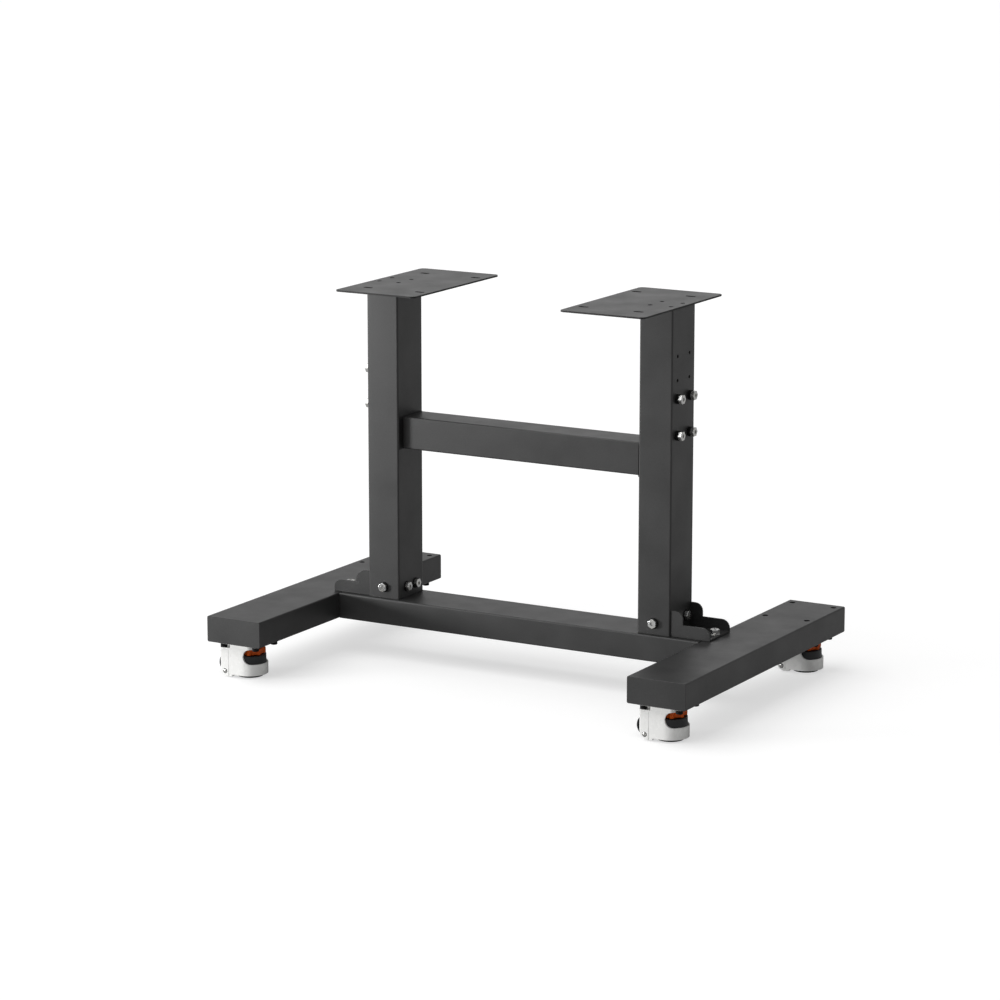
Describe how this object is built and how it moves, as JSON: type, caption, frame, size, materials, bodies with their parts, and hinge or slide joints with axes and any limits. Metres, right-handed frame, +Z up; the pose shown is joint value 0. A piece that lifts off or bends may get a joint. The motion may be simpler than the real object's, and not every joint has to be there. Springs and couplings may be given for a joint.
{
  "type": "machine stand",
  "caption": "Heavy-duty H-base stand: two bolted box-section posts with slotted top plates and a stretcher, on low levelling castors with orange thumb wheels.",
  "frame": {"origin": "on the floor, under the middle of the stand's bounding box", "axes": "+Z up; +X across the stand, along the cross member; +Y to the back, along the side rails"},
  "size_m": [1.001, 0.657, 0.7221],
  "materials": {
    "powder_coat": "satin charcoal powder coat",
    "black_coat": "satin black coat on folded sheet",
    "zinc": "bright zinc plate",
    "white_casting": "gloss white enamel on a casting",
    "orange_nylon": "moulded orange nylon",
    "black_nylon": "moulded black nylon",
    "black_rubber": "dull black rubber"
  },
  "bodies": {
    "frame": {"accessory_bolt_left_front_lower": "zinc", "accessory_bolt_left_front_upper": "zinc", "accessory_bolt_left_rear_lower": "zinc", "accessory_bolt_left_rear_upper": "zinc", "accessory_bolt_right_front_lower": "zinc", "accessory_bolt_right_front_upper": "zinc", "accessory_bolt_right_rear_lower": "zinc", "accessory_bolt_right_rear_upper": "zinc", "castor_front_left_mounting_plate": "zinc", "castor_front_right_mounting_plate": "zinc", "castor_rear_left_mounting_plate": "zinc", "castor_rear_right_mounting_plate": "zinc", "cross_member": "powder_coat", "foot_bracket_bolt_left": "zinc", "foot_bracket_bolt_right": "zinc", "foot_bracket_left": "powder_coat", "foot_bracket_right": "powder_coat", "post_head_block_left": "powder_coat", "post_head_block_right": "powder_coat", "post_left": "powder_coat", "post_left_front_bolt": "zinc", "post_left_inner_front_bolt": "zinc", "post_left_inner_rear_bolt": "zinc", "post_left_outer_front_bolt": "zinc", "post_left_outer_rear_bolt": "zinc", "post_left_rear_bolt": "zinc", "post_right": "powder_coat", "post_right_front_bolt": "zinc", "post_right_inner_front_bolt": "zinc", "post_right_inner_rear_bolt": "zinc", "post_right_outer_front_bolt": "zinc", "post_right_outer_rear_bolt": "zinc", "post_right_rear_bolt": "zinc", "side_rail_left": "powder_coat", "side_rail_right": "powder_coat", "stretcher": "powder_coat", "stretcher_end_plate_left": "black_coat", "stretcher_end_plate_right": "black_coat", "top_plate_left": "powder_coat", "top_plate_right": "powder_coat"},
    "castor_front_left": {"castor_front_left_housing": "white_casting", "castor_front_left_axle": "zinc"},
    "castor_front_left_roller": {"castor_front_left_wheel": "black_nylon"},
    "castor_front_left_screw": {"castor_front_left_adjuster": "orange_nylon"},
    "castor_front_left_foot": {"castor_front_left_levelling_foot": "black_rubber"},
    "castor_front_right": {"castor_front_right_housing": "white_casting", "castor_front_right_axle": "zinc"},
    "castor_front_right_roller": {"castor_front_right_wheel": "black_nylon"},
    "castor_front_right_screw": {"castor_front_right_adjuster": "orange_nylon"},
    "castor_front_right_foot": {"castor_front_right_levelling_foot": "black_rubber"},
    "castor_rear_left": {"castor_rear_left_housing": "white_casting", "castor_rear_left_axle": "zinc"},
    "castor_rear_left_roller": {"castor_rear_left_wheel": "black_nylon"},
    "castor_rear_left_screw": {"castor_rear_left_adjuster": "orange_nylon"},
    "castor_rear_left_foot": {"castor_rear_left_levelling_foot": "black_rubber"},
    "castor_rear_right": {"castor_rear_right_housing": "white_casting", "castor_rear_right_axle": "zinc"},
    "castor_rear_right_roller": {"castor_rear_right_wheel": "black_nylon"},
    "castor_rear_right_screw": {"castor_rear_right_adjuster": "orange_nylon"},
    "castor_rear_right_foot": {"castor_rear_right_levelling_foot": "black_rubber"}
  },
  "joints": [
    {"name": "castor_front_left_swivel", "type": "hinge", "parent": "frame", "child": "castor_front_left", "pos_m": [-0.4425, -0.2763, 0.06], "axis": [0, 0, 1], "continuous": true},
    {"name": "castor_front_left_roll", "type": "hinge", "parent": "castor_front_left", "child": "castor_front_left_roller", "pos_m": [-0.4807, -0.2763, 0.0216], "axis": [0, 1, 0], "continuous": true},
    {"name": "castor_front_left_adjust", "type": "hinge", "parent": "castor_front_left", "child": "castor_front_left_screw", "pos_m": [-0.44, -0.2763, 0.0493], "axis": [0, 0, 1], "range_deg": [-1080, 720]},
    {"name": "castor_front_left_lift", "type": "slide", "parent": "castor_front_left", "child": "castor_front_left_foot", "axis": [0, 0, 1], "range_m": [-0.006, 0.004]},
    {"name": "castor_front_right_swivel", "type": "hinge", "parent": "frame", "child": "castor_front_right", "pos_m": [0.4425, -0.2763, 0.06], "axis": [0, 0, 1], "continuous": true},
    {"name": "castor_front_right_roll", "type": "hinge", "parent": "castor_front_right", "child": "castor_front_right_roller", "pos_m": [0.4043, -0.2763, 0.0216], "axis": [0, 1, 0], "continuous": true},
    {"name": "castor_front_right_adjust", "type": "hinge", "parent": "castor_front_right", "child": "castor_front_right_screw", "pos_m": [0.445, -0.2763, 0.0493], "axis": [0, 0, 1], "range_deg": [-1080, 720]},
    {"name": "castor_front_right_lift", "type": "slide", "parent": "castor_front_right", "child": "castor_front_right_foot", "axis": [0, 0, 1], "range_m": [-0.006, 0.004]},
    {"name": "castor_rear_left_swivel", "type": "hinge", "parent": "frame", "child": "castor_rear_left", "pos_m": [-0.4425, 0.2763, 0.06], "axis": [0, 0, 1], "continuous": true},
    {"name": "castor_rear_left_roll", "type": "hinge", "parent": "castor_rear_left", "child": "castor_rear_left_roller", "pos_m": [-0.4807, 0.2763, 0.0216], "axis": [0, 1, 0], "continuous": true},
    {"name": "castor_rear_left_adjust", "type": "hinge", "parent": "castor_rear_left", "child": "castor_rear_left_screw", "pos_m": [-0.44, 0.2763, 0.0493], "axis": [0, 0, 1], "range_deg": [-1080, 720]},
    {"name": "castor_rear_left_lift", "type": "slide", "parent": "castor_rear_left", "child": "castor_rear_left_foot", "axis": [0, 0, 1], "range_m": [-0.006, 0.004]},
    {"name": "castor_rear_right_swivel", "type": "hinge", "parent": "frame", "child": "castor_rear_right", "pos_m": [0.4425, 0.2763, 0.06], "axis": [0, 0, 1], "continuous": true},
    {"name": "castor_rear_right_roll", "type": "hinge", "parent": "castor_rear_right", "child": "castor_rear_right_roller", "pos_m": [0.4043, 0.2763, 0.0216], "axis": [0, 1, 0], "continuous": true},
    {"name": "castor_rear_right_adjust", "type": "hinge", "parent": "castor_rear_right", "child": "castor_rear_right_screw", "pos_m": [0.445, 0.2763, 0.0493], "axis": [0, 0, 1], "range_deg": [-1080, 720]},
    {"name": "castor_rear_right_lift", "type": "slide", "parent": "castor_rear_right", "child": "castor_rear_right_foot", "axis": [0, 0, 1], "range_m": [-0.006, 0.004]}
  ],
  "couplings": [
    {"joint": "castor_front_left_lift", "follows": "castor_front_left_adjust", "m_per_rad": 0.00031831},
    {"joint": "castor_front_right_lift", "follows": "castor_front_right_adjust", "m_per_rad": 0.00031831},
    {"joint": "castor_rear_left_lift", "follows": "castor_rear_left_adjust", "m_per_rad": 0.00031831},
    {"joint": "castor_rear_right_lift", "follows": "castor_rear_right_adjust", "m_per_rad": 0.00031831}
  ]
}
